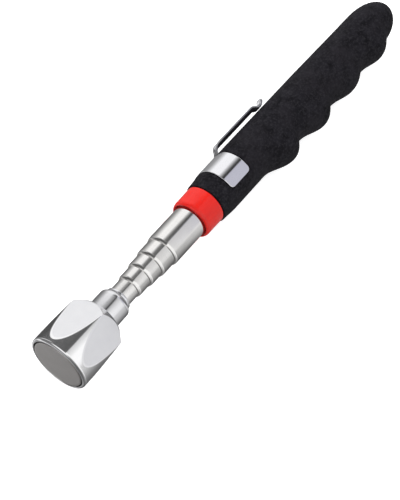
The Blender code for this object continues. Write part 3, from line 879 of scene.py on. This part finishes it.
def band_angles():
    """Angles of the band's sections, closest at the notch and at the rounded corners."""
    corner = BAND_CORNER / BAND_RADIUS
    plain = BAND_WRAP - corner
    half = [NOTCH_HALF * i / 12 for i in range(12)] + [NOTCH_HALF - radians(0.3), NOTCH_HALF]
    half += [NOTCH_HALF + (plain - NOTCH_HALF) * (i + 1) / 48 for i in range(48)]
    half += [plain + corner * sin(radians(90 * (i + 1) / 14)) for i in range(13)]
    half.append(BAND_WRAP - 0.00002)
    return [-a for a in reversed(half[1:])] + half


def make_band(mat):
    """The sheet's section goes round the grip, its four edges rounded by the press tool."""
    inner = BAND_RADIUS - CLIP_SHEET
    rings = []
    for angle in band_angles():
        front, back = band_span(angle)
        corners = [(front, inner), (front, BAND_RADIUS), (back, BAND_RADIUS), (back, inner)]
        section = rounded(corners, 0.00025, 5)
        rings.append([Vector((x, r * cos(angle), r * sin(angle))) for x, r in section])
    add_object("clip_band_sheet", loft(rings), mat, "handle", "clip_band", 45.0)


def arm_half(x):
    """Half width of the clip's arm at x: broad at the band, waisted at the bend, then even."""
    from_root = x - ARM_ROOT_X
    narrowing = smooth(from_root / 0.0010)
    widening = smooth((from_root - 0.0028) / 0.0032)
    half = ARM_ROOT_HALF + (ARM_WAIST_HALF - ARM_ROOT_HALF) * narrowing
    return half + (ARM_TIP_HALF - ARM_WAIST_HALF) * widening


def arm_path():
    """Middle line of the clip's arm as (x, y, half width, arch): up, along, down, flare."""
    root_x = ARM_ROOT_X - 0.0001
    root_y = BAND_RADIUS - CLIP_SHEET / 2
    run_x = ARM_ROOT_X + ARM_RISE
    run_y = BAND_RADIUS + ARM_LIFT
    dip_y = GRIP_RADIUS + DIP_LIFT
    points = []
    for x, t in [(root_x, 0.0)] + run((root_x, 0.0), (run_x, 1.0), 24):
        y = root_y + (run_y - root_y) * smooth(t ** 0.8)
        points.append((x, y, arm_half(x), ROOT_ARCH + (ARM_ARCH - ROOT_ARCH) * t))
    for x, y in run((run_x, run_y), (DROP_X, run_y), 24):
        points.append((x, y, arm_half(x), ARM_ARCH))
    for x, t in run((DROP_X, 0.0), (DIP_X, 1.0), 20):
        y = run_y + (dip_y - run_y) * smooth(t)
        points.append((x, y, ARM_TIP_HALF, ARM_ARCH * (1.0 - 0.7 * t)))
    for angle, t in run((0.0, 0.0), (FLARE_SWEEP, 1.0), 28):
        a = radians(angle)
        x = FLARE_X + FLARE_RADIUS * sin(a)
        y = dip_y + FLARE_RADIUS * (1 - cos(a))
        points.append((x, y, ARM_TIP_HALF * sqrt(1.0 - 0.94 * t ** 7), 0.3 * ARM_ARCH))
    return points


def arm_section(half):
    """Points round the sheet's section as (across, out), close together on its broad faces."""
    edge = 0.00014
    face_steps = 22
    thick = CLIP_SHEET / 2
    corners = [(-half, -thick), (-half, thick), (half, thick), (half, -thick)]
    outline = rounded(corners, edge, 3)
    points = []
    for a, b in zip(outline, outline[1:] + outline[:1]):
        steps = face_steps if (b - a).length > half else 1
        points += [a + (b - a) * (k / steps) for k in range(steps)]
    return points


def make_arm(mat):
    """The section follows the arm's path, bowed across by the path's arch."""
    path = arm_path()
    rings = []
    for i, (x, y, half, arch) in enumerate(path):
        before, after = path[max(0, i - 1)], path[min(len(path) - 1, i + 1)]
        along = Vector((after[0] - before[0], after[1] - before[1], 0)).normalized()
        out = Vector((-along.y, along.x, 0))
        points = []
        for p in arm_section(half):
            bow = arch * (p.x / half) ** 2
            points.append(Vector((x, y, p.x)) + out * (p.y - bow))
        rings.append(points)
    add_object("clip_arm_sheet", loft(rings), mat, "clip_arm", "clip_arm", 45.0)


# ================================================================ studio
# What the metal mirrors.  Ahead of the tool the studio changes with height, from -1 to 1.  The
# rest is in strips: each begins at a place along X, from -1 to 1, and says how bright it is at
# each angle round X, where 0 is overhead, 90 the clip's side and 180 below.
AHEAD_CLIP_SIDE = (
    (-1.0, 0.35), (-0.88, 0.35), (-0.84, 0.24), (-0.78, 0.24), (-0.66, 1.00), (-0.52, 1.00),
    (-0.42, 0.22), (0.30, 0.20), (0.44, 1.00), (1.0, 1.00),
)
AHEAD_BUMP_SIDE = (
    (-1.0, 0.34), (-0.90, 0.34), (-0.70, 0.16), (0.30, 0.13), (0.50, 0.25), (1.0, 0.35),
)
STEEP_STRIP = (
    (-170, 0.12), (-150, 0.10), (-125, 0.19), (-102, 0.36), (-84, 0.58), (-66, 0.90),
    (-46, 1.00), (4.5, 1.00), (6.5, 0.11), (60, 0.11), (112, 0.14), (135, 0.90), (165, 0.95),
)
RIM_STRIP = STEEP_STRIP[:-2] + ((135, 0.20), (165, 0.16))     # dark below the clip's side
WEDGE_STRIP = (
    (-170, 0.10), (-120, 0.45), (-95, 0.90), (-70, 1.00), (6, 1.00), (9, 0.15), (58, 0.18),
    (80, 0.75), (105, 0.80), (130, 0.25), (165, 0.10),
)
DARK_SIDE_STRIP = (
    (-170, 0.16), (-150, 0.13), (-125, 0.20), (-102, 0.36), (-84, 0.53), (-66, 0.66),
    (-54, 0.95), (-44, 1.05), (-20, 1.05), (-6, 0.80), (4.5, 0.64), (6.5, 0.105), (60, 0.105),
    (120, 0.08), (150, 0.08), (165, 0.18),
)
NECK_STRIP = (
    (-170, 0.08), (-150, 0.12), (-125, 0.24), (-107, 0.41), (-92, 0.57), (-79, 0.68),
    (-67, 0.75), (-56, 0.96), (-40, 1.02), (-26, 0.94), (-16, 0.80), (-5, 0.68), (4, 0.44),
    (9, 0.09), (15, 0.09), (22, 0.40), (32, 0.58), (42, 0.74), (52, 0.90), (76, 0.94),
    (88, 0.80), (102, 0.51), (119, 0.29), (145, 0.16), (170, 0.12),
)
TUBE_STRIP = (
    (-170, 0.07), (-140, 0.11), (-115, 0.23), (-92, 0.37), (-72, 0.47), (-61, 0.70),
    (-44, 0.80), (-8, 0.70), (9, 0.68), (11, 0.14), (30, 0.15), (38, 0.34), (50, 0.98),
    (80, 1.02), (104, 0.58), (124, 0.26), (165, 0.12),
)
BLUE_WHITE = (0.82, 0.82, 0.84)
BLUE_GREY = (0.53, 0.53, 0.60)
CLIP_STRIP = (
    (-170, 0.26), (-120, 0.50), (-95, 0.74), (-58, BLUE_WHITE), (-45, BLUE_GREY),
    (14.0, BLUE_GREY), (16, 0.045), (24, 0.05), (30, 0.22), (38, 0.58), (46, 0.98), (88, 1.00),
    (102, 0.66), (118, 0.36), (150, 0.26), (165, 0.35),
)
BEHIND_STRIP = (
    (-165, 0.10), (-120, 0.14), (-60, 0.22), (-6, 0.26), (6, 0.85), (90, 0.90), (165, 0.80),
)
# Each strip as (where it starts to show, where it shows fully, its tones).
STUDIO = (
    (-0.30, -0.20, STEEP_STRIP),
    (-0.12, -0.02, RIM_STRIP),
    (0.13, 0.22, WEDGE_STRIP),
    (0.330, 0.343, DARK_SIDE_STRIP),
    (0.382, 0.392, NECK_STRIP),
    (0.404, 0.412, TUBE_STRIP),
    (0.468, 0.485, CLIP_STRIP),
    (0.72, 0.82, BEHIND_STRIP),
)


def make_world():
    """The studio that the metal mirrors: soft boxes on both sides, with dark gaps between."""
    world = bpy.data.worlds.new("studio")
    bpy.context.scene.world = world
    world.use_nodes = True
    n = Nodes(world.node_tree)
    background = n.tree.nodes["Background"]
    x, y, z = n.split(n.add("TexCoord").outputs["Generated"])
    roll = n.math("MULTIPLY_ADD", n.math("ARCTAN2", y, z), 1 / (2 * pi), 0.5)

    def by_place(value, stops):
        """A ramp over a direction's coordinate, from -1 to 1."""
        half = n.math("MULTIPLY_ADD", value, 0.5, 0.5)
        return n.ramp(half, [(0.5 + 0.5 * place, tone) for place, tone in stops])

    def by_angle(stops):
        return n.ramp(roll, [(0.5 + angle / 360.0, tone) for angle, tone in stops])

    clip_side = by_place(y, [(-0.22, 0.0), (0.06, 1.0)])
    light = n.mix(clip_side, by_place(z, AHEAD_BUMP_SIDE), by_place(z, AHEAD_CLIP_SIDE))
    for start, full, stops in STUDIO:
        light = n.mix(by_place(x, [(start, 0.0), (full, 1.0)]), light, by_angle(stops))
    n.link(light, background.inputs["Color"])
    background.inputs["Strength"].default_value = 1.0


def add_to_stage(name, mesh, mat):
    """A surface of the studio, which isn't part of the tool."""
    mesh.materials.append(mat)
    obj = bpy.data.objects.new(name, mesh)
    bpy.context.scene.collection.objects.link(obj)
    return obj


def white_glow(name):
    """A material that is evenly white, whatever the light."""
    mat = bpy.data.materials.new(name)
    mat.use_nodes = True
    n = Nodes(mat.node_tree)
    n.tree.nodes.clear()
    glow = n.add("Emission")
    glow.inputs["Color"].default_value = (1.0, 1.0, 1.0, 1.0)
    glow.inputs["Strength"].default_value = 1.0
    n.link(glow.outputs[0], n.add("OutputMaterial").inputs["Surface"])
    return mat


def make_floor():
    """Softly back-lit white acrylic, as on a product photographer's light table."""
    s = Surface("white_acrylic")
    tone = s.noise(s.place, 3.0, 2.0)
    s.finish(s.mix(tone, (0.87, 0.87, 0.87), (0.89, 0.89, 0.89)), 0.6, specular=0.1)
    s.shader.inputs["Emission Color"].default_value = (1.0, 1.0, 1.0, 1.0)
    s.shader.inputs["Emission Strength"].default_value = 0.55
    half = 3.0
    corners = [(-half, -half, FLOOR_Z), (half, -half, FLOOR_Z), (half, half, FLOOR_Z),
               (-half, half, FLOOR_Z)]
    mesh = bpy.data.meshes.new("floor")
    mesh.from_pydata(corners, [], [(0, 1, 2, 3)])
    floor = add_to_stage("floor", mesh, s.material)
    floor.visible_glossy = False


def make_backdrop():
    """A pale dome far round the table, seen only directly."""
    bm = bmesh.new()
    bmesh.ops.create_uvsphere(bm, u_segments=48, v_segments=24, radius=2.8)
    mesh = bpy.data.meshes.new("backdrop")
    bm.to_mesh(mesh)
    bm.free()
    dome = add_to_stage("backdrop", mesh, white_glow("backdrop_white"))
    for ray in ("diffuse", "glossy", "transmission", "shadow", "volume_scatter"):
        setattr(dome, f"visible_{ray}", False)


def make_lamp(name, location, target, size, power):
    """A soft box that faces its target and isn't mirrored in the metal."""
    data = bpy.data.lights.new(name, "AREA")
    data.shape = "SQUARE"
    data.size = size
    data.energy = power
    lamp = bpy.data.objects.new(name, data)
    bpy.context.scene.collection.objects.link(lamp)
    lamp.location = location
    lamp.rotation_mode = "QUATERNION"
    lamp.rotation_quaternion = (Vector(target) - Vector(location)).to_track_quat("-Z", "Y")
    lamp.visible_glossy = False


def make_lights():
    """A broad lamp above, and weaker ones in front of the bumps' side and beside the clip."""
    make_lamp("soft_top", (0.16, 0.55, 1.15), (0.10, 0.0, 0.0), 1.2, 13.0)
    make_lamp("soft_front", (-0.35, -0.70, 0.80), (0.08, 0.0, 0.0), 0.8, 3.5)
    make_lamp("soft_side", (0.25, 0.95, 0.30), (0.12, 0.0, 0.0), 0.5, 4.5)


def make_camera():
    """In front of the magnet and high up, looking down along the tool, rolled to one side."""
    place = Vector((-0.15545, 0.0, 0.42675))
    target = Vector((0.0710, -0.01008, 0.0))
    tilt = Vector((0.6568, 0.6769, 0.3322))
    forward = (target - place).normalized()
    right = forward.cross(tilt).normalized()
    up = right.cross(forward)
    data = bpy.data.cameras.new("camera")
    data.lens = 93.6
    data.sensor_width = 36.0
    data.clip_start = 0.01
    data.clip_end = 20.0
    camera = bpy.data.objects.new("camera", data)
    bpy.context.scene.collection.objects.link(camera)
    turn = Matrix((right, up, -forward)).transposed().to_4x4()
    camera.matrix_world = Matrix.Translation(place) @ turn
    bpy.context.scene.camera = camera


# ================================================================ assembly
def restyle(node, mat):
    """A CAD node that stays gets its finished material."""
    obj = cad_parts[node]
    for material_slot in obj.material_slots:
        material_slot.material = mat


def make_stage():
    make_camera()
    make_world()
    make_lights()
    make_floor()
    make_backdrop()
    bpy.context.scene.view_settings.view_transform = "Standard"


def make_pieces():
    """Every piece whose finished surface is finer than the CAD's."""
    make_housing()
    make_pole_disc()
    make_spacer()
    bright = plated("neck_chrome", (0.84, 0.84, 0.86), 0.07)
    make_neck(bright)
    make_crimp(bright)
    steel = tube_steel()
    bodies = {1: "head", 2: "section_2", 3: "section_3", 4: "section_4", OUTER_TUBE: "handle"}
    for number, body in bodies.items():
        make_tube(number, steel, body)
    make_collar()
    make_grip()
    clip_colour = (0.90, 0.90, 0.93)
    make_band(plated("clip_plating", clip_colour, 0.10))
    make_arm(plated("clip_arm_plating", clip_colour, 0.10, cut_half=ARM_TIP_HALF - CUT_EDGE))


def restyle_inner_pieces():
    """The plain inner pieces keep the CAD's shapes."""
    steel = turned_steel()
    restyle("disc_magnet", sintered())
    restyle("backing_plate", steel)
    restyle("neck_screw", steel)
    brass = brass_strip()
    for number in (1, 2, 3, 4):
        restyle(f"friction_sleeve_{number}", brass)
    core = moulded("core_black", (0.035, 0.035, 0.037), (0.06, 0.06, 0.062), 0.5)
    restyle("grip_liner", core)
    restyle("rear_plug", core)


make_stage()
make_pieces()
restyle_inner_pieces()
